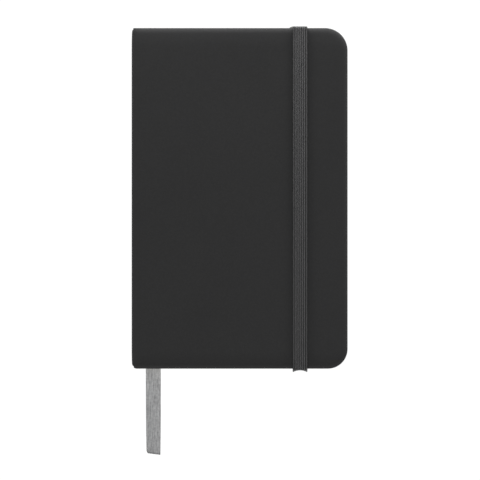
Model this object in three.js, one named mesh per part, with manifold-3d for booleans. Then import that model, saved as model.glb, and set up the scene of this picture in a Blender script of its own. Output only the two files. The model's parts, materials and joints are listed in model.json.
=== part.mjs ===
// Pocket notebook: hard covers hinged on a flat spine, twelve sewn signatures of leaves, an elastic
// band that holds it shut and a woven ribbon marker.
// Millimetres. The closed notebook lies on its back cover: +X points to the fore-edge, +Y to the
// head and +Z out of the front cover. The origin is under the middle of the covers, on the surface
// that the notebook lies on.
import * as THREE from 'three';
import { mergeVertices } from 'three/addons/utils/BufferGeometryUtils.js';
import Module from 'manifold-3d';

const wasm = await Module();
wasm.setup();

// ---------------------------------------------------------------- driving dimensions

const COVER_WIDTH = 90;
const COVER_HEIGHT = 142;
const BOOK_THICKNESS = 13.6; // between the outer faces of the two covers
const FORE_CORNER_RADIUS = 8.2;
const SPINE_CORNER_RADIUS = 1.2;

const SKIN_THICKNESS = 0.45;
const BOARD_THICKNESS = 1.5;
const PASTEDOWN_THICKNESS = 0.15;
const LAYER_GAP = 0.05; // glue line between the layers of a cover
const EDGE_GAP = 0.1; // between the edge of a board and the wall of its skin
const EDGE_ROUNDING = 0.8; // outer edges of the covers

const SQUARE = 2; // how far a cover stands past the leaves
const SIGNATURE_COUNT = 12;
const FLYLEAF_THICKNESS = 0.12;
const LEAF_GAP = 0.04; // between one signature and the next
const RIBBON_GAP = 0.45; // between the two middle signatures, where the ribbon lies

const HINGE_CLEARANCE = 0.1; // between a hinge axis and the cover beside it
const SPINE_STRIP_THICKNESS = 0.8;
const SPINE_LINING_THICKNESS = 0.15;
const THREAD_DIAMETER = 0.5;
const THREAD_COUNT = 5;
const THREAD_PITCH = 26;

const BAND_WIDTH = 5.9;
const BAND_THICKNESS = 0.67;
const BAND_CLEARANCE = 0.03; // between the band and the covers that it holds
const BAND_FROM_FORE_EDGE = 19.8; // to the middle of the band
const BAND_CORNER_RADIUS = 0.6;
const SLOT_FROM_EDGE = 11; // from the head or tail edge to the middle of the slot in the back cover
const SLOT_CLEARANCE = 0.3;
const TAB_LENGTH = 14; // glued end of the band, under the back pastedown
const TAB_THICKNESS = 0.5;

const RIBBON_WIDTH = 6.1;
const RIBBON_THICKNESS = 0.3;

const ARC_STEPS = 6; // segments in each rounded corner
const EDGE_STEPS = 2; // segments in the rounded outer edge of a cover
const FOLD_STEPS = 6; // segments round the folded edge of a signature
const THREAD_SIDES = 8;
const CUT_OVERRUN = 1; // how far a cutting box runs past the face that it opens

// Middle line of the ribbon: it comes in at the head, lies between the two middle signatures,
// leaves at the tail and sinks to the surface that the notebook lies on.
const RIBBON_ROUTE = [
  [-38.0, 68.5, 7.5],
  [-37.6, 52, 7.5],
  [-37.1, 34, 7.5],
  [-36.7, 16, 7.5],
  [-36.4, -2, 7.5],
  [-36.2, -20, 7.5],
  [-36.1, -38, 7.5],
  [-36.06, -56, 7.5],
  [-36.06, -70, 7.5],
  [-36.06, -75, 7.25],
  [-36.06, -80, 6.5],
  [-36.06, -85, 5.35],
  [-36.06, -90, 4.0],
  [-36.06, -95, 2.75],
  [-36.06, -100, 1.75],
  [-36.06, -104, 1.2],
  [-36.06, -106.6, 0.95],
];
const RIBBON_STEPS = 40;

// ---------------------------------------------------------------- derived places

const BACK_FACE_Z = BAND_THICKNESS + BAND_CLEARANCE; // the band's short ends lie under the cover
const FRONT_FACE_Z = BACK_FACE_Z + BOOK_THICKNESS;
const MIDDLE_Z = (BACK_FACE_Z + FRONT_FACE_Z) / 2;

const SPINE_X = -COVER_WIDTH / 2;
const FORE_X = COVER_WIDTH / 2;
const HEAD_Y = COVER_HEIGHT / 2;

const COVER_THICKNESS = SKIN_THICKNESS + BOARD_THICKNESS + PASTEDOWN_THICKNESS + 2 * LAYER_GAP;
const HINGE_RADIUS = COVER_THICKNESS / 2; // hinge axes lie at half the thickness of a cover
const HINGE_X = SPINE_X + HINGE_RADIUS;
const BACK_HINGE_Z = BACK_FACE_Z + HINGE_RADIUS;
const FRONT_HINGE_Z = FRONT_FACE_Z - HINGE_RADIUS;

const COVER_X0 = HINGE_X + HINGE_CLEARANCE;
const BOARD_INSET = SKIN_THICKNESS + EDGE_GAP;
const BOARD_Z0 = SKIN_THICKNESS + LAYER_GAP; // heights in a cover count from its outer face
const BOARD_Z1 = BOARD_Z0 + BOARD_THICKNESS;
const PASTEDOWN_Z0 = BOARD_Z1 + LAYER_GAP;

const THREAD_X = HINGE_X + HINGE_RADIUS - EDGE_GAP - THREAD_DIAMETER / 2;
const FOLD_X = HINGE_X + HINGE_RADIUS;
const LEAF_FORE_X = FORE_X - SQUARE;
const LEAF_HEAD_Y = HEAD_Y - SQUARE;
const LEAF_CORNER_RADIUS = FORE_CORNER_RADIUS - SQUARE;
const FLYLEAF_Z0 = COVER_THICKNESS + LEAF_GAP;
const BLOCK_Z0 = FLYLEAF_Z0 + FLYLEAF_THICKNESS + LEAF_GAP;
const HALF_COUNT = SIGNATURE_COUNT / 2;
const HALF_BLOCK = BOOK_THICKNESS / 2 - BLOCK_Z0 - RIBBON_GAP / 2;
const SIGNATURE_THICKNESS = (HALF_BLOCK - (HALF_COUNT - 1) * LEAF_GAP) / HALF_COUNT;
const SIGNATURE_PITCH = SIGNATURE_THICKNESS + LEAF_GAP;

const BAND_X = FORE_X - BAND_FROM_FORE_EDGE;
const BAND_OUTER_Y = HEAD_Y + BAND_CLEARANCE + BAND_THICKNESS;
const SLOT_Y = HEAD_Y - SLOT_FROM_EDGE;
const BAND_LANE = [BAND_X - BAND_WIDTH, BAND_X + BAND_WIDTH];
const FREE_FACE_X = (COVER_X0 + BAND_LANE[0]) / 2; // middle of the face between spine and band

// ---------------------------------------------------------------- materials

const PAPER_COLOUR = 0xf2ecdc;
const SKIN_COLOUR = 0x2b2b2c;
const BAND_COLOUR = 0x3a3a3b;

function material(colour, roughness) {
  return new THREE.MeshStandardMaterial({ color: colour, roughness, metalness: 0 });
}

const makeSkinMaterial = () => material(SKIN_COLOUR, 0.6);
const makeBoardMaterial = () => material(0x9a938a, 0.9);
const makePaperMaterial = () => material(PAPER_COLOUR, 0.85);
const makeLiningMaterial = () => material(0xe6dfcc, 0.95);
const makeThreadMaterial = () => material(0xf6f4ee, 0.8);
const makeBandMaterial = () => material(BAND_COLOUR, 0.8);
const makeRibbonMaterial = () => material(0x8e8f91, 0.6);

// ---------------------------------------------------------------- geometry helpers

const notebook = new THREE.Group();

function addPiece(name, geometry, pieceMaterial) {
  const piece = new THREE.Mesh(geometry, pieceMaterial);
  piece.name = name;
  notebook.add(piece);
  return piece;
}

function toSolid(geometry) {
  const bare = geometry.clone();
  bare.deleteAttribute('normal');
  bare.deleteAttribute('uv');
  const merged = mergeVertices(bare);
  const vertProperties = new Float32Array(merged.attributes.position.array);
  const triVerts = new Uint32Array(merged.index.array);
  return new wasm.Manifold(new wasm.Mesh({ numProp: 3, vertProperties, triVerts }));
}

function toGeometry(solid) {
  const mesh = solid.getMesh();
  const geometry = new THREE.BufferGeometry();
  geometry.setAttribute('position', new THREE.BufferAttribute(mesh.vertProperties, mesh.numProp));
  geometry.setIndex(new THREE.BufferAttribute(mesh.triVerts, 1));
  geometry.computeVertexNormals();
  return geometry;
}

function cut(geometry, ...tools) {
  let solid = toSolid(geometry);
  for (const tool of tools) {
    solid = solid.subtract(toSolid(tool));
  }
  return toGeometry(solid);
}

function boxBetween(x0, x1, y0, y1, z0, z1) {
  const box = new THREE.BoxGeometry(x1 - x0, y1 - y0, z1 - z0);
  return box.translate((x0 + x1) / 2, (y0 + y1) / 2, (z0 + z1) / 2);
}

// Turns a piece of the back half over, about the middle of the book's thickness, for the front half.
function mirrorToFront(geometry) {
  const mirrored = geometry.clone().scale(1, 1, -1).translate(0, 0, 2 * MIDDLE_Z);
  const inOrder = [...Array(mirrored.attributes.position.count).keys()];
  const order = mirrored.index ? [...mirrored.index.array] : inOrder;
  for (let i = 0; i < order.length; i += 3) {
    [order[i + 1], order[i + 2]] = [order[i + 2], order[i + 1]];
  }
  mirrored.setIndex(order);
  mirrored.computeVertexNormals();
  return mirrored;
}

// Outline of a leaf or a cover, counter-clockwise from its tail corner at the spine.
function leafOutline(x0, x1, halfHeight, spineRadius, foreRadius) {
  const corners = [
    { x: x0 + spineRadius, y: -halfHeight + spineRadius, radius: spineRadius, from: Math.PI },
    { x: x1 - foreRadius, y: -halfHeight + foreRadius, radius: foreRadius, from: 1.5 * Math.PI },
    { x: x1 - foreRadius, y: halfHeight - foreRadius, radius: foreRadius, from: 0 },
    { x: x0 + spineRadius, y: halfHeight - spineRadius, radius: spineRadius, from: 0.5 * Math.PI },
  ];
  const outline = [];
  for (const corner of corners) {
    for (let step = 0; step <= ARC_STEPS; step += 1) {
      const angle = corner.from + (step / ARC_STEPS) * 0.5 * Math.PI;
      const x = corner.x + corner.radius * Math.cos(angle);
      const y = corner.y + corner.radius * Math.sin(angle);
      outline.push(new THREE.Vector2(x, y));
    }
  }
  return outline;
}

function plate(outline, z0, thickness) {
  const shape = new THREE.Shape(outline);
  const geometry = new THREE.ExtrudeGeometry(shape, { depth: thickness, bevelEnabled: false });
  return geometry.translate(0, 0, z0);
}

// A closed body through rings of equal length, from its lowest face to its last, with a flat fan of
// triangles round capCentre at both ends.
function ringSolid(rings, capCentre) {
  const count = rings[0].outline.length;
  const positions = [];
  const triangles = [];
  for (const ring of rings) {
    for (const point of ring.outline) {
      positions.push(point.x, point.y, ring.z);
    }
  }
  for (let r = 0; r + 1 < rings.length; r += 1) {
    for (let i = 0; i < count; i += 1) {
      const j = (i + 1) % count;
      const a = r * count + i;
      const b = r * count + j;
      triangles.push(a, b, b + count, a, b + count, a + count);
    }
  }
  const first = positions.length / 3;
  const lastRing = (rings.length - 1) * count;
  positions.push(capCentre.x, capCentre.y, rings[0].z);
  positions.push(capCentre.x, capCentre.y, rings[rings.length - 1].z);
  for (let i = 0; i < count; i += 1) {
    const j = (i + 1) % count;
    triangles.push(first, j, i);
    triangles.push(first + 1, lastRing + i, lastRing + j);
  }
  const geometry = new THREE.BufferGeometry();
  geometry.setAttribute('position', new THREE.BufferAttribute(new Float32Array(positions), 3));
  geometry.setIndex(triangles);
  geometry.computeVertexNormals();
  return geometry;
}

// A profile in the Y-Z plane, drawn as [y, z] points, with the given width along X.
function profileAlongX(points, xMiddle, width) {
  const shape = new THREE.Shape(points.map(([y, z]) => new THREE.Vector2(y, z)));
  const geometry = new THREE.ExtrudeGeometry(shape, { depth: width, bevelEnabled: false });
  geometry.rotateZ(Math.PI / 2).rotateY(Math.PI / 2);
  return geometry.translate(xMiddle - width / 2, 0, 0);
}

// ---------------------------------------------------------------- covers

// The two edges of the band's lane are points of the cover's outline, so that no facet of the
// outer face runs under the band and out on its other side.
function coverOutline(inset) {
  const outline = leafOutline(
    COVER_X0 + inset,
    FORE_X - inset,
    HEAD_Y - inset,
    SPINE_CORNER_RADIUS,
    FORE_CORNER_RADIUS - inset,
  );
  const tailLane = BAND_LANE.map((x) => new THREE.Vector2(x, -HEAD_Y + inset));
  const headLane = [...BAND_LANE].reverse().map((x) => new THREE.Vector2(x, HEAD_Y - inset));
  const cornerPoints = ARC_STEPS + 1;
  return [
    ...outline.slice(0, cornerPoints),
    ...tailLane,
    ...outline.slice(cornerPoints, 3 * cornerPoints),
    ...headLane,
    ...outline.slice(3 * cornerPoints),
  ];
}

// The skin is a shallow tray round the board, with a rounded outer edge.
function coverSkin() {
  const rings = [];
  for (let step = 0; step <= EDGE_STEPS; step += 1) {
    const angle = (step / EDGE_STEPS) * 0.5 * Math.PI;
    const inset = EDGE_ROUNDING * (1 - Math.sin(angle));
    const rise = EDGE_ROUNDING * (1 - Math.cos(angle));
    rings.push({ outline: coverOutline(inset), z: BACK_FACE_Z + rise });
  }
  const rimZ = BACK_FACE_Z + BOARD_Z1;
  rings.push({ outline: coverOutline(0), z: rimZ });
  rings.push({ outline: coverOutline(SKIN_THICKNESS), z: rimZ });
  rings.push({ outline: coverOutline(SKIN_THICKNESS), z: BACK_FACE_Z + SKIN_THICKNESS });
  return ringSolid(rings, new THREE.Vector2(FREE_FACE_X, 0));
}

function coverBoard() {
  return plate(coverOutline(BOARD_INSET), BACK_FACE_Z + BOARD_Z0, BOARD_THICKNESS);
}

function pastedown() {
  const outline = leafOutline(
    COVER_X0 + SQUARE / 2,
    LEAF_FORE_X,
    LEAF_HEAD_Y,
    SPINE_CORNER_RADIUS,
    LEAF_CORNER_RADIUS,
  );
  return plate(outline, BACK_FACE_Z + PASTEDOWN_Z0, PASTEDOWN_THICKNESS);
}

// Opening through the back cover that the end of the band goes in at; side is 1 at the head and -1
// at the tail.
function slotTool(side) {
  const halfWidth = BAND_WIDTH / 2 + SLOT_CLEARANCE;
  const halfLength = BAND_THICKNESS / 2 + SLOT_CLEARANCE;
  return boxBetween(
    BAND_X - halfWidth,
    BAND_X + halfWidth,
    side * SLOT_Y - halfLength,
    side * SLOT_Y + halfLength,
    BACK_FACE_Z - CUT_OVERRUN,
    BACK_FACE_Z + COVER_THICKNESS,
  );
}

// Recess in the inner face of the back board, for the glued tab of the band.
function tabTool(side) {
  const halfWidth = BAND_WIDTH / 2 + SLOT_CLEARANCE;
  const outerY = SLOT_Y + BAND_THICKNESS / 2 + SLOT_CLEARANCE;
  const innerY = SLOT_Y - TAB_LENGTH - SLOT_CLEARANCE;
  const boardTop = BACK_FACE_Z + BOARD_Z1;
  return boxBetween(
    BAND_X - halfWidth,
    BAND_X + halfWidth,
    Math.min(side * outerY, side * innerY),
    Math.max(side * outerY, side * innerY),
    boardTop - TAB_THICKNESS - 2 * LAYER_GAP,
    boardTop + CUT_OVERRUN,
  );
}

function makeCovers() {
  const slots = [slotTool(1), slotTool(-1)];
  const backBoard = cut(coverBoard(), ...slots, tabTool(1), tabTool(-1));
  addPiece('cover_skin_back', cut(coverSkin(), ...slots), makeSkinMaterial());
  addPiece('back_board', backBoard, makeBoardMaterial());
  addPiece('back_pastedown', pastedown(), makePaperMaterial());
  addPiece('cover_skin_front', mirrorToFront(coverSkin()), makeSkinMaterial());
  addPiece('front_board', mirrorToFront(coverBoard()), makeBoardMaterial());
  addPiece('front_pastedown', mirrorToFront(pastedown()), makePaperMaterial());
}

// ---------------------------------------------------------------- spine

function makeSpine() {
  const z0 = BACK_HINGE_Z + HINGE_RADIUS + EDGE_GAP;
  const z1 = FRONT_HINGE_Z - HINGE_RADIUS - EDGE_GAP;
  const skinInnerX = SPINE_X + SKIN_THICKNESS;
  const stripX0 = skinInnerX + LAYER_GAP;
  const stripX1 = stripX0 + SPINE_STRIP_THICKNESS;
  const liningX0 = stripX1 + EDGE_GAP;
  const liningX1 = liningX0 + SPINE_LINING_THICKNESS;
  const stripY = HEAD_Y - BOARD_INSET;
  const skin = boxBetween(SPINE_X, skinInnerX, -HEAD_Y, HEAD_Y, z0, z1);
  const strip = boxBetween(stripX0, stripX1, -stripY, stripY, z0, z1);
  const lining = boxBetween(liningX0, liningX1, -LEAF_HEAD_Y, LEAF_HEAD_Y, z0, z1);
  addPiece('cover_skin_spine', skin, makeSkinMaterial());
  addPiece('spine_strip', strip, makeBoardMaterial());
  addPiece('spine_lining', lining, makeLiningMaterial());
  for (let i = 0; i < THREAD_COUNT; i += 1) {
    const thread = new THREE.CylinderGeometry(
      THREAD_DIAMETER / 2,
      THREAD_DIAMETER / 2,
      z1 - z0,
      THREAD_SIDES,
    );
    const y = (i - (THREAD_COUNT - 1) / 2) * THREAD_PITCH;
    thread.rotateX(Math.PI / 2).translate(THREAD_X, y, MIDDLE_Z);
    addPiece(`sewing_thread_${i + 1}`, thread, makeThreadMaterial());
  }
}

// ---------------------------------------------------------------- leaves

function leafPlate(z0, thickness) {
  const outline = leafOutline(FOLD_X, LEAF_FORE_X, LEAF_HEAD_Y, LEAF_GAP, LEAF_CORNER_RADIUS);
  return plate(outline, z0, thickness);
}

// Eight folded leaves as one block: square at the head, tail and fore-edge, round at the fold.
function signatureSolid(z0) {
  const radius = SIGNATURE_THICKNESS / 2;
  const section = [];
  for (let step = 0; step <= FOLD_STEPS; step += 1) {
    const angle = Math.PI / 2 + (step / FOLD_STEPS) * Math.PI;
    const x = FOLD_X + radius + radius * Math.cos(angle);
    const z = z0 + radius + radius * Math.sin(angle);
    section.push(new THREE.Vector2(x, z));
  }
  section.push(new THREE.Vector2(FORE_X, z0));
  section.push(new THREE.Vector2(FORE_X, z0 + SIGNATURE_THICKNESS));
  const options = { depth: COVER_HEIGHT, bevelEnabled: false };
  const folded = new THREE.ExtrudeGeometry(new THREE.Shape(section), options);
  folded.rotateX(Math.PI / 2).translate(0, COVER_HEIGHT / 2, 0);
  const outlined = leafPlate(z0 - LEAF_GAP, SIGNATURE_THICKNESS + 2 * LEAF_GAP);
  return toGeometry(toSolid(folded).intersect(toSolid(outlined)));
}

function signatureName(number) {
  return `signature_${String(number).padStart(2, '0')}`;
}

// Signatures count from the front cover, so the back half runs from the last one up to the middle.
function makeLeaves() {
  for (let i = 0; i < HALF_COUNT; i += 1) {
    const solid = signatureSolid(BACK_FACE_Z + BLOCK_Z0 + i * SIGNATURE_PITCH);
    addPiece(signatureName(SIGNATURE_COUNT - i), solid, makePaperMaterial());
    addPiece(signatureName(i + 1), mirrorToFront(solid), makePaperMaterial());
  }
  const flyleaf = leafPlate(BACK_FACE_Z + FLYLEAF_Z0, FLYLEAF_THICKNESS);
  addPiece('back_flyleaf', flyleaf, makePaperMaterial());
  addPiece('front_flyleaf', mirrorToFront(flyleaf), makePaperMaterial());
}

// ---------------------------------------------------------------- elastic band

// The long run over the front cover and its two legs, over the head and tail edges.
function bandLoop() {
  const top = FRONT_FACE_Z + BAND_CLEARANCE + BAND_THICKNESS;
  const innerTop = top - BAND_THICKNESS;
  const innerY = BAND_OUTER_Y - BAND_THICKNESS;
  const corner = [];
  for (let step = 0; step <= ARC_STEPS; step += 1) {
    const angle = (step / ARC_STEPS) * 0.5 * Math.PI;
    const y = BAND_OUTER_Y - BAND_CORNER_RADIUS + BAND_CORNER_RADIUS * Math.cos(angle);
    const z = top - BAND_CORNER_RADIUS + BAND_CORNER_RADIUS * Math.sin(angle);
    corner.push([y, z]);
  }
  const headHalf = [[innerY, innerTop], [innerY, 0], [BAND_OUTER_Y, 0], ...corner];
  const tailHalf = headHalf.map(([y, z]) => [-y, z]).reverse();
  return profileAlongX([...headHalf, ...tailHalf], BAND_X, BAND_WIDTH);
}

// One end of the band: a short run under the back cover, through the slot, and the glued tab.
function bandEnd(side) {
  const runY = HEAD_Y - BAND_CLEARANCE;
  const slotOuter = SLOT_Y + BAND_THICKNESS / 2;
  const slotInner = SLOT_Y - BAND_THICKNESS / 2;
  const tabY = SLOT_Y - TAB_LENGTH;
  const tabTop = BACK_FACE_Z + BOARD_Z1 - LAYER_GAP;
  const tabBottom = tabTop - TAB_THICKNESS;
  const profile = [
    [runY, 0],
    [runY, BAND_THICKNESS],
    [slotOuter, BAND_THICKNESS],
    [slotOuter, tabTop],
    [tabY, tabTop],
    [tabY, tabBottom],
    [slotInner, tabBottom],
    [slotInner, 0],
  ];
  const sided = profile.map(([y, z]) => [side * y, z]);
  return profileAlongX(sided, BAND_X, BAND_WIDTH);
}

function makeElastic() {
  addPiece('elastic_band', bandLoop(), makeBandMaterial());
  addPiece('elastic_end_head', bandEnd(1), makeBandMaterial());
  addPiece('elastic_end_tail', bandEnd(-1), makeBandMaterial());
}

// ---------------------------------------------------------------- ribbon marker

// An eight-sided flat section: its narrow way first, as the route's frame has it upright.
function makeRibbon() {
  const halfThickness = RIBBON_THICKNESS / 2;
  const halfWidth = RIBBON_WIDTH / 2;
  const bevel = halfThickness / 2;
  const section = [
    [halfThickness, halfWidth - bevel],
    [halfThickness - bevel, halfWidth],
    [-halfThickness + bevel, halfWidth],
    [-halfThickness, halfWidth - bevel],
    [-halfThickness, -halfWidth + bevel],
    [-halfThickness + bevel, -halfWidth],
    [halfThickness - bevel, -halfWidth],
    [halfThickness, -halfWidth + bevel],
  ];
  const shape = new THREE.Shape(section.map(([x, y]) => new THREE.Vector2(x, y)));
  const route = new THREE.CatmullRomCurve3(RIBBON_ROUTE.map((p) => new THREE.Vector3(...p)));
  const options = { steps: RIBBON_STEPS, extrudePath: route, bevelEnabled: false };
  addPiece('ribbon_marker', new THREE.ExtrudeGeometry(shape, options), makeRibbonMaterial());
}

makeCovers();
makeSpine();
makeLeaves();
makeElastic();
makeRibbon();

export default notebook;
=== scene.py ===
"""Looks of a pocket notebook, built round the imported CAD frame.

Hard covers in a matte soft-touch skin, sewn leaves, a ribbed elastic band and a grey ribbon marker.
Lengths are in metres, in the CAD frame: +X to the fore-edge, +Y to the head, +Z out of the front cover.
"""

import json
import math

import bmesh
import bpy
import numpy as np
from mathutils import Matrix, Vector


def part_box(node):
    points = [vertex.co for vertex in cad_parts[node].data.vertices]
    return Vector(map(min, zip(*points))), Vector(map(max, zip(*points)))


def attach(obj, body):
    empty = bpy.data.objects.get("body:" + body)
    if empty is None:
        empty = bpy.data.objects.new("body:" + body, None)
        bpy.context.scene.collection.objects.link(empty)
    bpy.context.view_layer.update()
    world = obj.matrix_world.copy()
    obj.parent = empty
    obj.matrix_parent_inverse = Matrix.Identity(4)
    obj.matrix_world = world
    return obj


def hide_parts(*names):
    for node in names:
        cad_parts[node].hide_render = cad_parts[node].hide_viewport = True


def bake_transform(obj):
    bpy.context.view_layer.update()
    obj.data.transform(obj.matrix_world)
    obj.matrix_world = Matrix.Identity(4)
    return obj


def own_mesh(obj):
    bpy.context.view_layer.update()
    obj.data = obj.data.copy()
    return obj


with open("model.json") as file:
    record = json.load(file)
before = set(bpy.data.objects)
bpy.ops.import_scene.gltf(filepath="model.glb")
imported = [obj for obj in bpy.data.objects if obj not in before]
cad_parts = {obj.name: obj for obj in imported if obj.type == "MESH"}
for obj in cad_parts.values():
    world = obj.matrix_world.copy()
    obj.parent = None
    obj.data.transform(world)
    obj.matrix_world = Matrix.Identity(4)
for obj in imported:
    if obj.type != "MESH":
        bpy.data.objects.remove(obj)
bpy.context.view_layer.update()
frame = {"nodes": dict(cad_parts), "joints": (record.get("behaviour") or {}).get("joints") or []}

MM = 0.001
rng = np.random.default_rng(7)

# ---------------------------------------------------------------- places, from the frame

JOINTS = {joint["name"]: joint for joint in frame["joints"]}
back_skin_low, back_skin_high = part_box("cover_skin_back")
front_skin_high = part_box("cover_skin_front")[1]
spine_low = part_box("cover_skin_spine")[0]
strip_low, strip_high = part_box("spine_strip")
board_low, board_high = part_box("back_board")
pastedown_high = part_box("back_pastedown")[1]
band_low, band_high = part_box("elastic_band")

SPINE_X = spine_low.x
FORE_X = back_skin_high.x
HEAD_Y = back_skin_high.y
BACK_Z = back_skin_low.z
FRONT_Z = front_skin_high.z
MIDDLE_Z = (BACK_Z + FRONT_Z) / 2
HINGE_X = JOINTS["back_hinge"]["pos_m"][0]
BACK_HINGE_Z = JOINTS["back_hinge"]["pos_m"][2]
HINGE_RADIUS = HINGE_X - SPINE_X
SIGNATURE_COUNT = 12  # number 1 lies under the front cover
HALF_COUNT = SIGNATURE_COUNT // 2
LEAF_FORE_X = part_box("signature_01")[1].x
BAND_X = (band_low.x + band_high.x) / 2

# ---------------------------------------------------------------- sizes of the looks

TAIL_FORE_RADIUS = 8.2 * MM  # fore-edge corners of the covers
HEAD_FORE_RADIUS = 9.4 * MM
HEAD_CORNER_RADIUS = 1.3 * MM  # corners at the two ends of the spine, seen from above
TAIL_CORNER_RADIUS = 2.2 * MM
EDGE_WIDTH = 2.3 * MM  # the outer edge of a cover is rounded as a quarter ellipse
EDGE_DEPTH = 0.95 * MM
LIP_RADIUS = 0.4 * MM  # inner edge of a cover, where the skin turns in
LIP_THICKNESS = 0.13 * MM
LIP_SLOPE = 0.8 * MM  # from the joint to where the lip lies on the board
HINGE_LIP_DEPTH = 0.95 * MM  # where the skin bends, between the spine and the board
SPINE_LIP_SLOPE_START = 1.3 * MM  # from the joint back to where the lip leaves the stiffener
SPINE_LIP_SLOPE_END = 0.2 * MM
CUSHION_WIDTH = 7.9 * MM  # the faces sink towards their edges over this, less than a corner's radius
CUSHION_DROP = 0.46 * MM
CUSHION_RINGS = (1.0, 0.84, 0.7, 0.58, 0.48, 0.39)  # shares of that width
SPINE_CUSHION_WIDTH = 7 * MM  # and less towards the spine
SPINE_CUSHION_DROP = 0.22 * MM
SKIN_THICKNESS = 0.45 * MM
GLUE_GAP = 0.05 * MM  # between the layers of a cover
PASTEDOWN_GAP = 0.07 * MM  # between the pastedown and the turned-in skin
LIP_OVER_STRIP = 0.16 * MM  # the turned-in skin on the spine clears the stiffener by this
STRIP_TAIL_GAP = 1.9 * MM  # the stiffener stops this far short of the CAD's, clear of the corners
STRIP_HEAD_GAP = 1.2 * MM
SLOT_FROM_EDGE = 11 * MM  # from the head or tail edge to the middle of a slot in the back cover
SLOT_CLEARANCE = 0.3 * MM  # round the band
SLOT_CUT = (-1 * MM, 1.5 * MM)  # depths between which the slot is cut, from the outer face
ARC_POINTS = 14  # round each fore-edge corner
EDGE_POINTS = 9  # round the section of an edge
LIP_POINTS = 7  # round the inner edge, where the skin turns in
SPINE_POINTS = 9  # along the skin, from the middle of the spine to the joint
HINGE_POINTS = 10  # along the bend of the joint
PAST_HINGE_MM = (0.3, 0.7, 1.3, 2, 3, 4, 5, 6, 7.5, 12, *range(20, 80, 6))  # and beyond it

SHEETS_IN_SIGNATURE = 4  # folded one inside the next
LEAF_THICKNESS = 0.078 * MM
LEAF_RADIUS = 6.2 * MM
FOLD_POINTS = 7
TRIM_SCATTER = 0.03 * MM  # how unevenly the leaves are trimmed
MIDDLE_GUTTER_WIDTH = 2.9 * MM
FOLD_MARGIN = 0.2 * MM  # from the fold to the first column of a leaf's mesh
FOLD_PITCH = 0.25 * MM  # between columns near the fold, where a leaf bends
COLUMN_STEP = 1 * MM  # to and from the stretches with wider columns
WIDE_COLUMN_STEP = 10 * MM
LEAF_COLUMNS = (12, 4, 9)  # how many where the halves close up, beyond that, and in the corner
LEAF_GAP = 0.05 * MM  # left between the two halves of the block, away from the ribbon
CLOSE_UP_MARGIN = 1.5 * MM  # from the ribbon to where the two halves start to close up
CLOSE_UP_LENGTH = 14 * MM
RULE_PITCH_MM = 6.5
RULE_WIDTH_MM = 0.22
RULED_TOP_MM = 56.0  # no rule lies higher than this above the middle of the page
RULE_MARGIN_MM = 0.5  # from the end of a rule to the fore-edge

THREAD_COUNT = 5
THREAD_TURN = 1.1 * MM  # length of one turn of the two plies
THREAD_STEPS_PER_TURN = 10
THREAD_SIDES = 8

BAND_THICKNESS = 0.67 * MM
BAND_RIBS = 7
BAND_RIB_POWER = 0.55  # below 1 a rib is fuller than a half circle
BAND_YARN = 0.1 * MM  # covering of the outer cords, beyond the band's nominal width
BAND_RIB_STEPS = 8
BAND_GROOVE_DEPTH = 0.2 * MM
BAND_SIDE = 0.08 * MM  # how far the soft sides round in
STITCH_PITCH_MM = 0.55
BAND_BEND_RADIUS = 0.6 * MM
BAND_BEND_POINTS = 7
BAND_LEG_LAP = 1.1 * MM  # how far the front run reaches down the head and tail edges
BAND_DRIFT = 1.3 * MM  # the band runs slightly aslant down the head edge
BAND_DRIFT_RUN = 6 * MM  # and comes back into line over this length under the back cover
BAND_CUP = 0.8 * MM  # its two sides stand out from the tail edge
BAND_LAP_CUP = 0.5 * MM  # and by this much where the front run ends
BAND_CUP_PLACES = [0, 0.2, 0.7, 1]  # down a leg; the cup is widest between the middle two
BAND_CUP_POWER = 2.2
BAND_BULGE = 0.15 * MM  # the legs stand off the edges of the leaves
BAND_LEG_POINTS = 12
LEG_SHRINK = 0.01 * MM  # a leg's section lies just inside that of the front run
BACK_END_SHRINK = 0.05 * MM  # and a back end's just inside a leg's
BACK_END_DEPTH = 1.2 * MM  # how far into the cover a back end reaches

RIBBON_WIDTH = 6.2 * MM
RIBBON_THICKNESS = 0.2 * MM
RIBBON_SELVEDGE = 0.4 * MM
RIBBON_EDGE_RADIUS = 0.15 * MM
RIBBON_EDGE_LEFT = 0.05  # keeps some thickness at the very edge
RIBBON_SELVEDGE_SWELL = 1.35  # the selvedge's thickness, against the ribbon's
RIBBON_TWIST = math.radians(22)
RIBBON_TWIST_POWER = 1.5  # the twist comes mostly near the end
RIBBON_SLANT = 0.38 * MM  # of the cut end, at each side of its middle
RIBBON_WEAR = 1.1 * MM  # missing from one corner of the cut end
RIBBON_WEAR_FROM = 0.75  # where the wear starts, from the middle (0) to the edge (1)
RIBBON_CUT_RUN = 4 * MM  # length over which the threads follow the slant
RIBBON_PICK_MM = 0.42  # pitch of the threads across the ribbon
RIBBON_WARP_MM = 0.3  # and of those along it
RIBBON_ROUTE_MM = [
    (-36.9, 68.5, 7.5),
    (-36.75, 52, 7.5),
    (-36.6, 34, 7.5),
    (-36.5, 16, 7.5),
    (-36.3, -2, 7.5),
    (-36.2, -20, 7.5),
    (-36.1, -38, 7.5),
    (-36.06, -56, 7.5),
    (-36.06, -70, 7.5),
    (-36.06, -75, 7.25),
    (-36.06, -80, 6.5),
    (-36.06, -85, 5.35),
    (-36.06, -90, 4.0),
    (-36.06, -95, 2.75),
    (-36.06, -100, 1.75),
    (-36.06, -104, 1.2),
    (-36.06, -106.9, 1.2),
]
RIBBON_STEPS_PER_POINT = 6
RIBBON_COLUMNS = 31

SHARP_DEGREES = 35  # faces that meet at more than this show an edge
SWEPT_SHARP_DEGREES = 50  # on the band and the ribbon
PLY_SHARP_DEGREES = 60  # on the sewing thread

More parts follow.
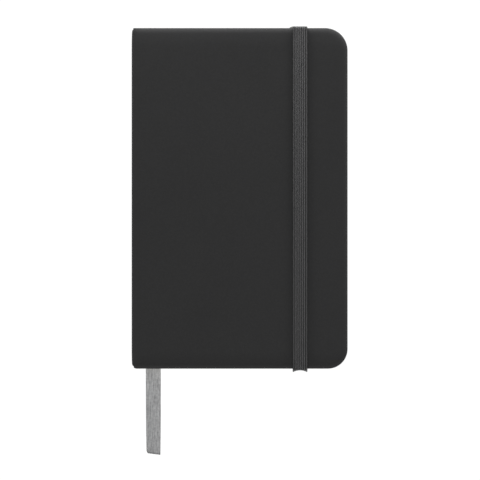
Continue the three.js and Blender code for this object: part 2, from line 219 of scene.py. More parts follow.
VIEW_WIDTH = 200.0 * MM  # of the table, at the height of the front cover
VIEW_CENTRE = Vector((0.15 * MM, -17.35 * MM, 0))
CAMERA_HEIGHT = 3.0
SENSOR_WIDTH = 36.0
CAMERA_REACH = 10.0
FLOOR_HALF = 3.0
SOFTBOXES = [  # name, place, size, watts
    ("head_softbox", (0.0, 0.46, 0.08), (0.6, 0.07), 5.5),
    ("left_softbox", (-0.45, 0.22, 0.1), (0.4, 0.08), 1.5),
    ("right_softbox", (0.45, 0.22, 0.1), (0.4, 0.08), 1.5),
    ("tail_softbox", (0.02, -0.5, 0.3), (0.6, 0.2), 2.2),
    ("overhead_softbox", (0.0, 0.0, 3.3), (2.0, 2.0), 6.5),
]
WORLD_STRENGTH = 0.215

# ---------------------------------------------------------------- camera


def make_camera():
    """Straight above, and far enough away to show the notebook almost without perspective."""
    camera_data = bpy.data.cameras.new("camera")
    camera = bpy.data.objects.new("camera", camera_data)
    bpy.context.scene.collection.objects.link(camera)
    camera_data.sensor_width = SENSOR_WIDTH
    camera_data.lens = SENSOR_WIDTH * CAMERA_HEIGHT / VIEW_WIDTH
    camera.location = VIEW_CENTRE + Vector((0, 0, FRONT_Z + CAMERA_HEIGHT))
    camera_data.clip_end = CAMERA_REACH
    bpy.context.scene.camera = camera


# ---------------------------------------------------------------- mesh helpers

BOX_FACES = [(0, 1, 3, 2), (4, 6, 7, 5), (0, 4, 5, 1), (2, 3, 7, 6), (0, 2, 6, 4), (1, 5, 7, 3)]


def make_piece(name, vertices, faces, material, uvs=None, sharp_degrees=SHARP_DEGREES):
    """A mesh object with outward faces, smooth shading and, in millimetres, one UV per vertex."""
    mesh = bpy.data.meshes.new(name)
    mesh.from_pydata([tuple(v) for v in vertices], [], faces)
    if uvs is not None:
        layer = mesh.uv_layers.new(name="millimetres")
        corners = np.zeros(len(mesh.loops), np.int32)
        mesh.loops.foreach_get("vertex_index", corners)
        layer.data.foreach_set("uv", (np.array(uvs)[corners] / MM).astype(np.float32).ravel())
    builder = bmesh.new()
    builder.from_mesh(mesh)
    bmesh.ops.recalc_face_normals(builder, faces=builder.faces)
    builder.to_mesh(mesh)
    builder.free()
    mesh.polygons.foreach_set("use_smooth", [True] * len(mesh.polygons))
    mesh.set_sharp_from_angle(angle=math.radians(sharp_degrees))
    mesh.materials.append(material)
    piece = bpy.data.objects.new(name, mesh)
    bpy.context.scene.collection.objects.link(piece)
    return piece


def ring_faces(ring_count, ring_size, closed):
    """Quads between successive rings of vertices."""
    faces = []
    quads_per_ring = ring_size if closed else ring_size - 1
    for ring in range(ring_count - 1):
        this = ring * ring_size
        following = this + ring_size
        for i in range(quads_per_ring):
            j = (i + 1) % ring_size
            faces.append((this + i, this + j, following + j, following + i))
    return faces


def tube_faces(ring_count, ring_size):
    """The side and the two ends of a tube of rings."""
    faces = ring_faces(ring_count, ring_size, closed=True)
    faces.append(tuple(range(ring_size)))
    faces.append(tuple((ring_count - 1) * ring_size + i for i in range(ring_size)))
    return faces


def box_corners(low, high):
    """The corners of a box, in the order that BOX_FACES takes them in."""
    return [(x, y, z) for x in (low[0], high[0]) for y in (low[1], high[1]) for z in (low[2], high[2])]


def catmull_rom(points, steps):
    """Points on a smooth curve through the given ones, with steps points to each stretch."""
    padded = [2 * points[0] - points[1], *points, 2 * points[-1] - points[-2]]
    curve = []
    for p0, p1, p2, p3 in zip(padded, padded[1:], padded[2:], padded[3:]):
        for t in np.arange(steps) / steps:
            curve.append(
                0.5 * (2 * p1 + (p2 - p0) * t)
                + 0.5 * (2 * p0 - 5 * p1 + 4 * p2 - p3) * t**2
                + 0.5 * (3 * p1 - p0 - 3 * p2 + p3) * t**3
            )
    curve.append(points[-1])
    return np.array(curve)


def run_lengths(points):
    """The length along a line of points from its start to each of them."""
    steps = np.linalg.norm(np.diff(points, axis=0), axis=1)
    return np.concatenate([[0], np.cumsum(steps)])


def unit_tangents(points):
    """The direction of a line of points at each of them."""
    tangents = np.gradient(points, axis=0)
    return tangents / np.linalg.norm(tangents, axis=1)[:, None]


def smooth_step(share):
    """From 0 to 1 as share runs from 0 to 1, with a gentle start and end."""
    return share * share * (3 - 2 * share)


# ---------------------------------------------------------------- material helpers


class Shader:
    """A node material with one Principled shader, and short calls to add and join nodes."""

    def __init__(self, name, **settings):
        self.material = bpy.data.materials.new(name)
        self.material.use_nodes = True
        self.tree = self.material.node_tree
        self.principled = self.tree.nodes["Principled BSDF"]
        for key, value in settings.items():
            self.principled.inputs[key.replace("_", " ")].default_value = value

    def add(self, kind, **settings):
        node = self.tree.nodes.new(kind)
        for key, value in settings.items():
            if key in node.inputs:
                node.inputs[key].default_value = value
            else:
                setattr(node, key, value)
        return node

    def join(self, output, target):
        self.tree.links.new(output, target)

    def coordinates(self, kind):
        return self.add("ShaderNodeTexCoord").outputs[kind]

    def noise(self, vector, scale, detail=3.0, roughness=0.5):
        node = self.add("ShaderNodeTexNoise")
        node.inputs["Scale"].default_value = scale
        node.inputs["Detail"].default_value = detail
        node.inputs["Roughness"].default_value = roughness
        self.join(vector, node.inputs["Vector"])
        return node.outputs["Fac"]

    def ramp(self, value, low, high, low_colour, high_colour):
        """A colour that runs from low_colour to high_colour as value runs from low to high."""
        node = self.add("ShaderNodeValToRGB")
        node.color_ramp.elements[0].position = low
        node.color_ramp.elements[0].color = (*low_colour, 1)
        node.color_ramp.elements[1].position = high
        node.color_ramp.elements[1].color = (*high_colour, 1)
        self.join(value, node.inputs["Fac"])
        return node.outputs["Color"]

    def remap(self, value, low, high, to_low, to_high):
        """A number that runs from to_low to to_high as value runs from low to high."""
        node = self.add("ShaderNodeMapRange")
        limits = {"From Min": low, "From Max": high, "To Min": to_low, "To Max": to_high}
        for key, number in limits.items():
            node.inputs[key].default_value = number
        self.join(value, node.inputs["Value"])
        return node.outputs["Result"]

    def calculate(self, operation, first, second=None):
        node = self.add("ShaderNodeMath", operation=operation)
        for slot, value in zip(node.inputs, (first, second)):
            if isinstance(value, (int, float)):
                slot.default_value = value
            elif value is not None:
                self.join(value, slot)
        return node.outputs["Value"]

    def wave(self, value, pitch):
        """A sine of value that repeats every pitch."""
        return self.calculate("SINE", self.calculate("MULTIPLY", value, 2 * math.pi / pitch))

    def mix(self, share, first, second, blend_type="MIX"):
        node = self.add("ShaderNodeMix", data_type="RGBA", blend_type=blend_type)
        for key, value in (("Factor", share), ("A", first), ("B", second)):
            slot = [s for s in node.inputs if s.name == key and s.enabled][0]
            if isinstance(value, (int, float)):
                slot.default_value = value
            elif isinstance(value, tuple):
                slot.default_value = (*value, 1)
            else:
                self.join(value, slot)
        return [s for s in node.outputs if s.enabled][0]

    def separate(self, vector):
        node = self.add("ShaderNodeSeparateXYZ")
        self.join(vector, node.inputs["Vector"])
        return node.outputs

    def bump(self, height, strength, distance, previous=None):
        node = self.add("ShaderNodeBump", Strength=strength, Distance=distance)
        self.join(height, node.inputs["Height"])
        if previous is not None:
            self.join(previous, node.inputs["Normal"])
        return node.outputs["Normal"]

    def finish(self, colour=None, roughness=None, normal=None):
        for key, output in (("Base Color", colour), ("Roughness", roughness), ("Normal", normal)):
            if output is not None:
                self.join(output, self.principled.inputs[key])
        return self.material


# ---------------------------------------------------------------- materials

LEAF_TONE = (0.88, 0.85, 0.76)
ENDPAPER_TONE = (0.86, 0.83, 0.75)


def soft_touch_skin():
    """Near-black matte coated paper: a fine even grain, faint clouds in tone and in sheen."""
    shader = Shader("soft_touch_skin", Specular_IOR_Level=0.2)
    place = shader.coordinates("Object")
    clouds = shader.noise(place, 38, detail=4, roughness=0.6)
    specks = shader.noise(place, 1500, detail=2)
    grain = shader.add("ShaderNodeTexVoronoi", Scale=2600.0)
    shader.join(place, grain.inputs["Vector"])
    colour = shader.ramp(clouds, 0.3, 0.7, (0.0178, 0.0178, 0.0181), (0.0202, 0.0202, 0.0205))
    speck_colour = shader.ramp(specks, 0.35, 0.7, (0.014, 0.014, 0.0143), (0.025, 0.025, 0.0256))
    colour = shader.mix(0.25, colour, speck_colour)
    roughness = shader.remap(clouds, 0.3, 0.7, 0.68, 0.76)
    normal = shader.bump(grain.outputs["Distance"], 0.35, 0.03 * MM)
    normal = shader.bump(specks, 0.25, 0.03 * MM, normal)
    return shader.finish(colour, roughness, normal)


def greyboard():
    """Binder's board: grey pulp with lighter and darker fibres."""
    shader = Shader("greyboard", Specular_IOR_Level=0.2)
    place = shader.coordinates("Object")
    fibres = shader.noise(place, 2200, detail=5, roughness=0.7)
    layers = shader.noise(place, 240, detail=2)
    colour = shader.ramp(fibres, 0.3, 0.7, (0.24, 0.22, 0.2), (0.4, 0.37, 0.33))
    roughness = shader.remap(layers, 0.3, 0.7, 0.85, 0.95)
    return shader.finish(colour, roughness, shader.bump(fibres, 0.5, 0.05 * MM))


def paper(name, tone, lines):
    """Cream paper with a fine tooth; lines says whether grey rules run across the leaf."""
    shader = Shader(name, Specular_IOR_Level=0.2)
    place = shader.coordinates("Object")
    tooth = shader.noise(place, 3500, detail=3)
    flow = shader.noise(place, 60, detail=3)
    darker = tuple(0.94 * c for c in tone)
    colour = shader.ramp(flow, 0.25, 0.75, darker, tone)
    if lines:
        place_on_leaf = shader.separate(shader.coordinates("UV"))
        place_in_pitch = shader.calculate("FLOORED_MODULO", place_on_leaf["Y"], RULE_PITCH_MM)
        rule = shader.calculate("LESS_THAN", place_in_pitch, RULE_WIDTH_MM)
        below_top_margin = shader.calculate("LESS_THAN", place_on_leaf["Y"], RULED_TOP_MM)
        rule = shader.calculate("MULTIPLY", rule, below_top_margin)
        rule_end = LEAF_FORE_X / MM - RULE_MARGIN_MM
        inside_trim = shader.calculate("LESS_THAN", place_on_leaf["X"], rule_end)
        rule = shader.calculate("MULTIPLY", rule, inside_trim)
        colour = shader.mix(shader.calculate("MULTIPLY", rule, 0.55), colour, (0.42, 0.42, 0.43))
    roughness = shader.remap(tooth, 0.3, 0.7, 0.8, 0.9)
    return shader.finish(colour, roughness, shader.bump(tooth, 0.2, 0.02 * MM))


def gauze():
    """Open-weave lining, stiff with glue."""
    shader = Shader("gauze", Specular_IOR_Level=0.3)
    place = shader.separate(shader.coordinates("Object"))
    mesh_pitch = 0.9 * MM
    warp = shader.wave(place["Y"], mesh_pitch)
    weft = shader.wave(place["Z"], mesh_pitch)
    weave = shader.calculate("MAXIMUM", warp, weft)
    colour = shader.ramp(weave, 0.1, 0.8, (0.34, 0.3, 0.22), (0.72, 0.68, 0.58))
    return shader.finish(colour, None, shader.bump(weave, 0.6, 0.1 * MM))


def linen_thread():
    """Undyed linen with fine fibres."""
    shader = Shader("linen_thread", Specular_IOR_Level=0.3, Sheen_Weight=0.2)
    place = shader.coordinates("Object")
    fibres = shader.noise(place, 5000, detail=3)
    colour = shader.ramp(fibres, 0.3, 0.7, (0.66, 0.64, 0.58), (0.85, 0.83, 0.78))
    roughness = shader.remap(fibres, 0.3, 0.7, 0.7, 0.85)
    return shader.finish(colour, roughness, shader.bump(fibres, 0.4, 0.03 * MM))


def ribbed_elastic():
    """Knitted elastic: covered cords side by side, fine stitches, and painted shade in the grooves
    between the cords and over the outer cords.
    """
    shader = Shader("ribbed_elastic", Specular_IOR_Level=0.25, Sheen_Weight=0.15, Sheen_Roughness=0.5)
    place = shader.separate(shader.coordinates("UV"))
    rib_pitch = BAND_WIDTH / BAND_RIBS / MM
    slant = shader.wave(place["X"], rib_pitch)
    stitch_place = shader.calculate("ADD", place["Y"], shader.calculate("MULTIPLY", slant, 0.12))
    stitch = shader.wave(stitch_place, STITCH_PITCH_MM)
    fibres = shader.noise(shader.coordinates("Object"), 2600, detail=4, roughness=0.65)
    tone = shader.calculate("ADD", shader.calculate("MULTIPLY", stitch, 0.1), fibres)
    colour = shader.ramp(tone, 0.3, 0.75, (0.048, 0.048, 0.049), (0.075, 0.075, 0.076))
    # painted shade: the colour darkens in the grooves between the ribs, where shade falls
    quarter_rib_on = shader.calculate("ADD", place["X"], rib_pitch / 4)
    painted_groove_shade = shader.remap(shader.wave(quarter_rib_on, rib_pitch), -0.4, 0.6, 1.0, 0.08)
    # painted shade: the colour darkens over the outer cords, towards the band's sides
    half_width = BAND_WIDTH / 2 / MM
    from_middle = shader.calculate("ABSOLUTE", shader.calculate("SUBTRACT", place["X"], half_width))
    from_side = shader.calculate("SUBTRACT", half_width, from_middle)
    painted_outer_cord_shade = shader.remap(from_side, 0.1, 1.1, 0.52, 1.0)
    shade = shader.calculate("MULTIPLY", painted_groove_shade, painted_outer_cord_shade)
    colour = shader.mix(1.0, colour, shade, blend_type="MULTIPLY")
    normal = shader.bump(stitch, 0.35, 0.06 * MM)
    normal = shader.bump(fibres, 0.35, 0.05 * MM, normal)
    return shader.finish(colour, shader.remap(fibres, 0.3, 0.7, 0.62, 0.8), normal)


def woven_ribbon():
    """Grey satin ribbon: uneven threads along it, dark selvedges and cut end, and painted light that
    makes it lighter near the book.
    """
    shader = Shader("woven_ribbon", Specular_IOR_Level=0.35, Sheen_Weight=0.15, Sheen_Roughness=0.4)
    place = shader.separate(shader.coordinates("UV"))
    picks = shader.wave(place["Y"], RIBBON_PICK_MM)
    warp = shader.wave(place["X"], RIBBON_WARP_MM)
    weave = shader.calculate("ADD", picks, shader.calculate("MULTIPLY", warp, 0.5))
    fibres = shader.noise(shader.coordinates("Object"), 2400, detail=4, roughness=0.6)
    streak_place = shader.add("ShaderNodeCombineXYZ")
    shader.join(place["X"], streak_place.inputs["X"])
    shader.join(shader.calculate("MULTIPLY", place["Y"], 0.09), streak_place.inputs["Y"])
    streaks = shader.noise(streak_place.outputs["Vector"], 2.1, detail=3)
    mottling = shader.noise(shader.coordinates("UV"), 0.8, detail=3, roughness=0.6)
    tone = shader.calculate("ADD", shader.calculate("MULTIPLY", weave, 0.07), 0.5)
    for patches, weight in ((fibres, 0.55), (streaks, 1.5), (mottling, 0.9)):
        unevenness = shader.calculate("MULTIPLY", shader.calculate("SUBTRACT", patches, 0.5), weight)
        tone = shader.calculate("ADD", tone, unevenness)
    colour = shader.ramp(tone, 0.1, 0.9, (0.202, 0.203, 0.205), (0.47, 0.471, 0.475))
    from_middle = shader.calculate("ABSOLUTE", place["X"])
    from_edge = shader.calculate("SUBTRACT", RIBBON_WIDTH / 2 / MM, from_middle)
    selvedge = shader.remap(from_edge, 0.05, RIBBON_SELVEDGE / MM, 0.75, 1.0)
    cut_end = shader.remap(place["Y"], 0.15, 0.9, 0.5, 1.0)
    # painted light: the colour grows lighter over the stretch nearest the book, against the shade the
    # book casts there
    painted_light_near_book = shader.remap(place["Y"], 20, 37, 1.0, 1.26)
    shade = shader.calculate("MULTIPLY", selvedge, shader.calculate("MULTIPLY", cut_end, painted_light_near_book))
    colour = shader.mix(1.0, colour, shade, blend_type="MULTIPLY")
    normal = shader.bump(weave, 0.25, 0.04 * MM)
    normal = shader.bump(fibres, 0.3, 0.03 * MM, normal)
    return shader.finish(colour, shader.remap(fibres, 0.3, 0.7, 0.5, 0.65), normal)


def studio_floor():
    """A table that shines by itself, so that it shows as pure white with no shadow."""
    shader = Shader("studio_floor", Specular_IOR_Level=0.0, Roughness=1.0, Emission_Strength=1.0)
    shader.principled.inputs["Emission Color"].default_value = (1, 1, 1, 1)
    shader.principled.inputs["Base Color"].default_value = (0.05, 0.05, 0.05, 1)
    return shader.material


# ---------------------------------------------------------------- cover skin

SPINE_RUN = MIDDLE_Z - BACK_HINGE_Z  # along the skin, from the middle of the spine to the hinge
HINGE_RUN = HINGE_RADIUS * math.pi / 2
SKIN_RUN = SPINE_RUN + HINGE_RUN + FORE_X - HINGE_X
LIP_DEPTH = pastedown_high.z - BACK_Z - GLUE_GAP  # from a cover's outer face to its turned-in skin
SPINE_LIP_DEPTH = strip_high.x + LIP_OVER_STRIP - SPINE_X
LIP_WIDTH = FORE_X - pastedown_high.x - PASTEDOWN_GAP
BOARD_INSET = FORE_X - board_high.x - GLUE_GAP
SLOT_Y = HEAD_Y - SLOT_FROM_EDGE


def skin_columns():
    """Distances along the skin from the middle of the spine, short of the fore-edge corners."""
    spine = np.linspace(0, SPINE_RUN, SPINE_POINTS)
    hinge = SPINE_RUN + np.linspace(0, HINGE_RUN, HINGE_POINTS)[1:]
    return np.concatenate([spine, hinge, hinge[-1] + np.array(PAST_HINGE_MM) * MM])


def skin_outline(inset, columns):
    """(u, v) round the unrolled skin: along the tail, round the fore-edge, back along the head."""
    sides = []
    for corner_radius in (TAIL_FORE_RADIUS, HEAD_FORE_RADIUS):
        radius = corner_radius - inset
        side = [(u, HEAD_Y - inset) for u in columns]
        for angle in np.linspace(0, math.pi / 2, ARC_POINTS):
            u = SKIN_RUN - corner_radius + radius * math.sin(angle)
            v = HEAD_Y - corner_radius + radius * math.cos(angle)
            side.append((u, v))
        sides.append(side)
    tail, head = sides
    return np.array([(u, -v) for u, v in tail] + head[::-1])


def lip_depth(u):
    """How far the turned-in skin lies from the outer face, along the skin."""
    joint = SPINE_RUN + HINGE_RUN
    slope_start = SPINE_RUN - SPINE_LIP_SLOPE_START
    slope_end = SPINE_RUN - SPINE_LIP_SLOPE_END
    places = [0, slope_start, slope_end, joint, joint + LIP_SLOPE]
    depths = [SPINE_LIP_DEPTH, SPINE_LIP_DEPTH, HINGE_LIP_DEPTH, HINGE_LIP_DEPTH, LIP_DEPTH]
    return np.interp(u, places, depths)


def spine_drop(u):
    """How far a cover's face sinks beside the spine: most at the joint, nothing on the spine."""
    round_joint = np.clip((u - SPINE_RUN) / HINGE_RUN, 0, 1)
    on_cover = np.clip((u - SPINE_RUN - HINGE_RUN) / SPINE_CUSHION_WIDTH, 0, 1)
    return SPINE_CUSHION_DROP * smooth_step(round_joint) * (1 - on_cover) ** 2


def skin_point(u, v, depth):
    """Where a point of the back half's skin lies, depth under its outer face."""
    on_hinge = np.clip((u - SPINE_RUN) / HINGE_RADIUS, 0, math.pi / 2)
    down = np.minimum(u, SPINE_RUN)
    along = np.maximum(u - SPINE_RUN - HINGE_RUN, 0)
    reach = HINGE_RADIUS - depth
    x = HINGE_X - reach * np.cos(on_hinge) + along
    z = MIDDLE_Z - down - reach * np.sin(on_hinge)
    return np.stack([x, v, z], axis=-1)


def round_spine_corner(points, side, radius):
    """Rounds the corner of the notebook at one end of the spine, as seen from above."""
    inset_x = points[:, 0] - SPINE_X
    inset_y = HEAD_Y - side * points[:, 1]
    across = radius - inset_x
    beyond = radius - inset_y
    own_radius = radius - np.minimum(inset_x, inset_y)
    distance = np.hypot(across, beyond)
    outside = (across > 0) & (beyond > 0) & (distance > own_radius)
    share = np.where(outside, own_radius / np.maximum(distance, 1e-9), 1)
    moved = points.copy()
    moved[:, 0] = np.where(outside, SPINE_X + radius - across * share, points[:, 0])
    moved[:, 1] = np.where(outside, side * (HEAD_Y - radius + beyond * share), points[:, 1])
    return moved


def face_rings():
    """(inset, depth) of each ring over a cover's outer face and down its rounded edge."""
    rings = []
    insets = [share * CUSHION_WIDTH for share in CUSHION_RINGS]
    insets += [EDGE_WIDTH * (1 - math.sin(a)) for a in np.linspace(0, math.pi / 2, EDGE_POINTS)]
    for inset in insets:
        depth = CUSHION_DROP * (1 - inset / CUSHION_WIDTH) ** 2
        if inset < EDGE_WIDTH:
            depth += EDGE_DEPTH * (1 - math.sqrt(1 - (1 - inset / EDGE_WIDTH) ** 2))
        rings.append((inset, depth))
    return rings


def skin_rings():
    """(inset, share of the lip's depth, further depth) of each ring, from the outer face inwards."""
    rings = [(inset, depth / LIP_DEPTH, 0) for inset, depth in face_rings()]
    for angle in np.linspace(0, math.pi / 2, LIP_POINTS):
        inset = LIP_RADIUS * (1 - math.cos(angle))
        rings.append((inset, 1, -LIP_RADIUS * (1 - math.sin(angle))))
    rings.append((LIP_WIDTH, 1, 0))
    rings.append((LIP_WIDTH, 1, -LIP_THICKNESS))
    rings.append((BOARD_INSET, 1, -LIP_THICKNESS))
    for inset, depth in reversed(face_rings()):
        if inset > BOARD_INSET:
            rings.append((inset, depth / LIP_DEPTH, SKIN_THICKNESS))
    return rings


def board_rings():
    """(inset, share of the lip's depth, further depth) round a board that fills the skin."""
    gap = board_low.z - BACK_Z
    rings = [(inset, depth / LIP_DEPTH, gap) for inset, depth in face_rings() if inset > BOARD_INSET]
    rings.append((BOARD_INSET + GLUE_GAP, 1, board_high.z - BACK_Z - LIP_DEPTH))
    return rings


def make_shell(name, rings, columns, mirrored, material):
    """A closed shell over one cover: its rings, a fill in the first and last, and a flat end."""
    vertices = []
    uvs = []
    for inset, share, further in rings:
        outline = skin_outline(inset, columns)
        depth = share * lip_depth(outline[:, 0]) + further + (1 - share) * spine_drop(outline[:, 0])
        points = skin_point(outline[:, 0], outline[:, 1], depth)
        points = round_spine_corner(points, 1, HEAD_CORNER_RADIUS)
        points = round_spine_corner(points, -1, TAIL_CORNER_RADIUS)
        vertices.append(points)
        uvs.append(outline)
    size = len(outline)
    vertices = np.concatenate(vertices)
    if mirrored:
        vertices[:, 2] = 2 * MIDDLE_Z - vertices[:, 2]
    faces = ring_faces(len(rings), size, closed=False)
    for ring in (0, len(rings) - 1):
        first = ring * size
        last = first + size - 1
        faces += [(first + i, first + i + 1, last - i - 1, last - i) for i in range(size // 2 - 1)]
    starts = [ring * size for ring in range(len(rings))]
    faces.append((*starts, *[start + size - 1 for start in reversed(starts)]))
    return make_piece(name, vertices, faces, material, np.concatenate(uvs))


def cut_slot(piece, side):
    """The slot that an end of the band goes in at, through the back cover's skin."""
    half_width = (band_high.x - band_low.x) / 2 + SLOT_CLEARANCE
    half_length = BAND_THICKNESS / 2 + SLOT_CLEARANCE
    middle = Vector((BAND_X, side * SLOT_Y, BACK_Z))
    low = middle + Vector((-half_width, -half_length, SLOT_CUT[0]))
    high = middle + Vector((half_width, half_length, SLOT_CUT[1]))
    tool = make_piece("slot_tool", box_corners(low, high), BOX_FACES, piece.data.materials[0])
    modifier = piece.modifiers.new("slot", "BOOLEAN")
    modifier.object = tool
    modifier.solver = "EXACT"
    graph = bpy.context.evaluated_depsgraph_get()
    cut = bpy.data.meshes.new_from_object(piece.evaluated_get(graph))
    cut.set_sharp_from_angle(angle=math.radians(SHARP_DEGREES))
    piece.modifiers.remove(modifier)
    piece.data = cut
    bpy.data.objects.remove(tool)


def make_spine_strip(material):
    """The stiffener inside the spine, kept clear of the rounded corners of the skin."""
    low = strip_low + Vector((0, STRIP_TAIL_GAP, 0))
    high = strip_high - Vector((0, STRIP_HEAD_GAP, 0))
    piece = make_piece("spine_stiffener", box_corners(low, high), BOX_FACES, material)
    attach(piece, "spine")
    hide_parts("spine_strip")


def make_skins():
    """The skin in two halves that meet at the middle of the spine and are shaped round the joints."""
    material = soft_touch_skin()
    back = make_shell("cover_skin_back_half", skin_rings(), skin_columns(), False, material)
    front = make_shell("cover_skin_front_half", skin_rings(), skin_columns(), True, material)
    for side in (1, -1):
        cut_slot(back, side)
    for piece, body, outer_z, inward in (
        (back, "back_cover", BACK_Z, 1),
        (front, "front_cover", FRONT_Z, -1),
    ):
        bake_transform(piece)
    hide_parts("cover_skin_back", "cover_skin_spine")
    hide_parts("cover_skin_front")


def make_boards():
    """The stiffener in the spine, and a padded board that fills the skin of each cover."""
    material = greyboard()
    make_spine_strip(material)
    board_start = SPINE_RUN + HINGE_RUN + LIP_SLOPE
    columns = skin_columns()
    columns = np.concatenate([[board_start], columns[columns > board_start]])
    for cover, mirrored in (("back", False), ("front", True)):
        piece = make_shell(f"{cover}_padded_board", board_rings(), columns, mirrored, material)
        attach(piece, f"{cover}_cover")
        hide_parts(f"{cover}_board")


def give_material(node, material):
    """A new finish for a CAD node that is shown as it is."""
    mesh = frame["nodes"][node].data
    mesh.materials.clear()
    mesh.materials.append(material)


def finish_linings():
    """Finishes for the endpapers and the gauze, which keep their CAD shapes."""
    endpaper = paper("endpaper", ENDPAPER_TONE, lines=False)
    for node in ("back_pastedown", "front_pastedown", "back_flyleaf", "front_flyleaf"):
        give_material(node, endpaper)
    give_material("spine_lining", gauze())


# ---------------------------------------------------------------- leaves

BLOCK_BACK_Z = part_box(f"signature_{SIGNATURE_COUNT:02d}")[0].z
BLOCK_FRONT_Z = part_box("signature_01")[1].z
FRONT_HALF_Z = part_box(f"signature_{HALF_COUNT:02d}")[0].z
BACK_HALF_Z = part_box(f"signature_{HALF_COUNT + 1:02d}")[1].z
RIBBON_GAP = FRONT_HALF_Z - BACK_HALF_Z
GROWTH = (RIBBON_GAP - LEAF_GAP) / (BLOCK_FRONT_Z - BLOCK_BACK_Z - RIBBON_GAP)
GAP_START_X = RIBBON_ROUTE_MM[-1][0] * MM + RIBBON_WIDTH / 2 + CLOSE_UP_MARGIN
GAP_END_X = GAP_START_X + CLOSE_UP_LENGTH


def leaf_half_height(x, fore_x, head_y):
    """Half the length of a leaf along Y at x: less at the round fore-edge corners."""
    into_corner = np.clip(x - (fore_x - LEAF_RADIUS), 0, LEAF_RADIUS)
    return head_y - LEAF_RADIUS + np.sqrt(LEAF_RADIUS**2 - into_corner**2)


def leaf_columns(fold_x, fore_x):
    """Places across a leaf, close together near the fold, where it bends, and in the corners."""
    closing_count, wide_count, corner_count = LEAF_COLUMNS
    corner_x = fore_x - LEAF_RADIUS
    near = fold_x + np.arange(FOLD_MARGIN, MIDDLE_GUTTER_WIDTH, FOLD_PITCH)
    closing = np.linspace(near[-1] + COLUMN_STEP, GAP_END_X, closing_count)
    wide = np.linspace(GAP_END_X + WIDE_COLUMN_STEP, corner_x - COLUMN_STEP, wide_count)
    corner = corner_x + LEAF_RADIUS * np.sin(np.linspace(0, math.pi / 2, corner_count))
    return np.concatenate([near, closing, wide, corner])


def close_up(x, z):
    """The height of a leaf where the block closes over the gap that the ribbon makes near the fold."""
    share = smooth_step(np.clip((x - GAP_START_X) / CLOSE_UP_LENGTH, 0, 1))
    outer_z = BLOCK_BACK_Z if z < MIDDLE_Z else BLOCK_FRONT_Z
    return z + GROWTH * share * (z - outer_z)


def make_sheet(low, high, pitch, number):
    """One folded sheet of a signature, as vertices, faces and UVs; number counts from outside."""
    middle_z = (low.z + high.z) / 2
    radius = (high.z - low.z) / 2 - pitch * (number + 0.5)
    fold_x = low.x + (high.z - low.z) / 2
    fore_x = high.x - abs(rng.normal(0, TRIM_SCATTER))
    head_y = high.y - abs(rng.normal(0, TRIM_SCATTER))
    columns = leaf_columns(fold_x, fore_x)
    half = LEAF_THICKNESS / 2
    section = [(x, middle_z + radius, 0, 1) for x in columns[::-1]]
    for angle in np.linspace(math.pi / 2, 1.5 * math.pi, FOLD_POINTS):
        cos = math.cos(angle)
        sin = math.sin(angle)
        section.append((fold_x + radius * cos, middle_z + radius * sin, cos, sin))
    section += [(x, middle_z - radius, 0, -1) for x in columns]
    vertices = []
    uvs = []
    for x, z, normal_x, normal_z in section:
        y = leaf_half_height(x, fore_x, head_y)
        z = close_up(x, z)
        for side in (half, -half):
            for end in (-y, y):
                vertices.append((x + side * normal_x, end, z + side * normal_z))
                uvs.append((x, end))
    faces = []
    last = 4 * (len(section) - 1)
    for a in range(0, last, 4):
        b = a + 4
        faces += [(a, a + 1, b + 1, b), (a + 3, a + 2, b + 2, b + 3)]
        faces += [(a + 2, a, b, b + 2), (a + 1, a + 3, b + 3, b + 1)]
    faces += [(0, 2, 3, 1), (last, last + 1, last + 3, last + 2)]
    return vertices, faces, uvs


def make_signature(number, material):
    """The folded sheets of one signature, one inside the next, each curved round at its fold by the
    spine.
    """
    node = f"signature_{number:02d}"
    low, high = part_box(node)
    pitch = (high.z - low.z) / (2 * SHEETS_IN_SIGNATURE)
    vertices = []
    faces = []
    uvs = []
    for sheet in range(SHEETS_IN_SIGNATURE):
        points, quads, places = make_sheet(low, high, pitch, sheet)
        faces += [tuple(i + len(vertices) for i in quad) for quad in quads]
        vertices += points
        uvs += places
    piece = make_piece(f"{node}_sheets", vertices, faces, material, uvs)
    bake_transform(piece)
    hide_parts(node)


def make_leaves():
    """Twelve signatures of ruled paper."""
    material = paper("ruled_paper", LEAF_TONE, lines=True)
    for number in range(1, SIGNATURE_COUNT + 1):
        make_signature(number, material)


# ---------------------------------------------------------------- sewing


def ply_vertices(middle, radius, heights, first_angle):
    """Rings of vertices round one ply, which winds round the middle of the thread."""
    vertices = []
    for z in heights:
        turn = first_angle + 2 * math.pi * (z - heights[0]) / THREAD_TURN
        centre_x = middle.x + radius * math.cos(turn)
        centre_y = middle.y + radius * math.sin(turn)
        for side in range(THREAD_SIDES):
            angle = 2 * math.pi * side / THREAD_SIDES
            x = centre_x + radius * math.cos(angle)
            y = centre_y + radius * math.sin(angle)
            vertices.append((x, y, z))
    return vertices


def make_threads():
    """Two-ply thread at each sewing station, along the back of the folds."""
    material = linen_thread()
    for number in range(1, THREAD_COUNT + 1):
        node = f"sewing_thread_{number}"
        low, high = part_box(node)
        heights = np.arange(low.z, high.z, THREAD_TURN / THREAD_STEPS_PER_TURN)
        faces = tube_faces(len(heights), THREAD_SIDES)
        ply_size = len(heights) * THREAD_SIDES
        faces += [tuple(ply_size + i for i in face) for face in faces]
        vertices = []
        for first_angle in (0, math.pi):
            vertices += ply_vertices((low + high) / 2, (high.x - low.x) / 4, heights, first_angle)
        name = f"thread_station_{number}"
        piece = make_piece(name, vertices, faces, material, sharp_degrees=PLY_SHARP_DEGREES)
        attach(piece, "spine")
        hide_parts(node)


# ---------------------------------------------------------------- elastic band

BAND_WIDTH = band_high.x - band_low.x + 2 * BAND_YARN
BAND_Y = band_high.y - BAND_THICKNESS / 2  # middle of the thickness, over the head edge
BAND_FRONT_Z = band_high.z - BAND_THICKNESS / 2
BAND_BACK_Z = BAND_THICKNESS / 2


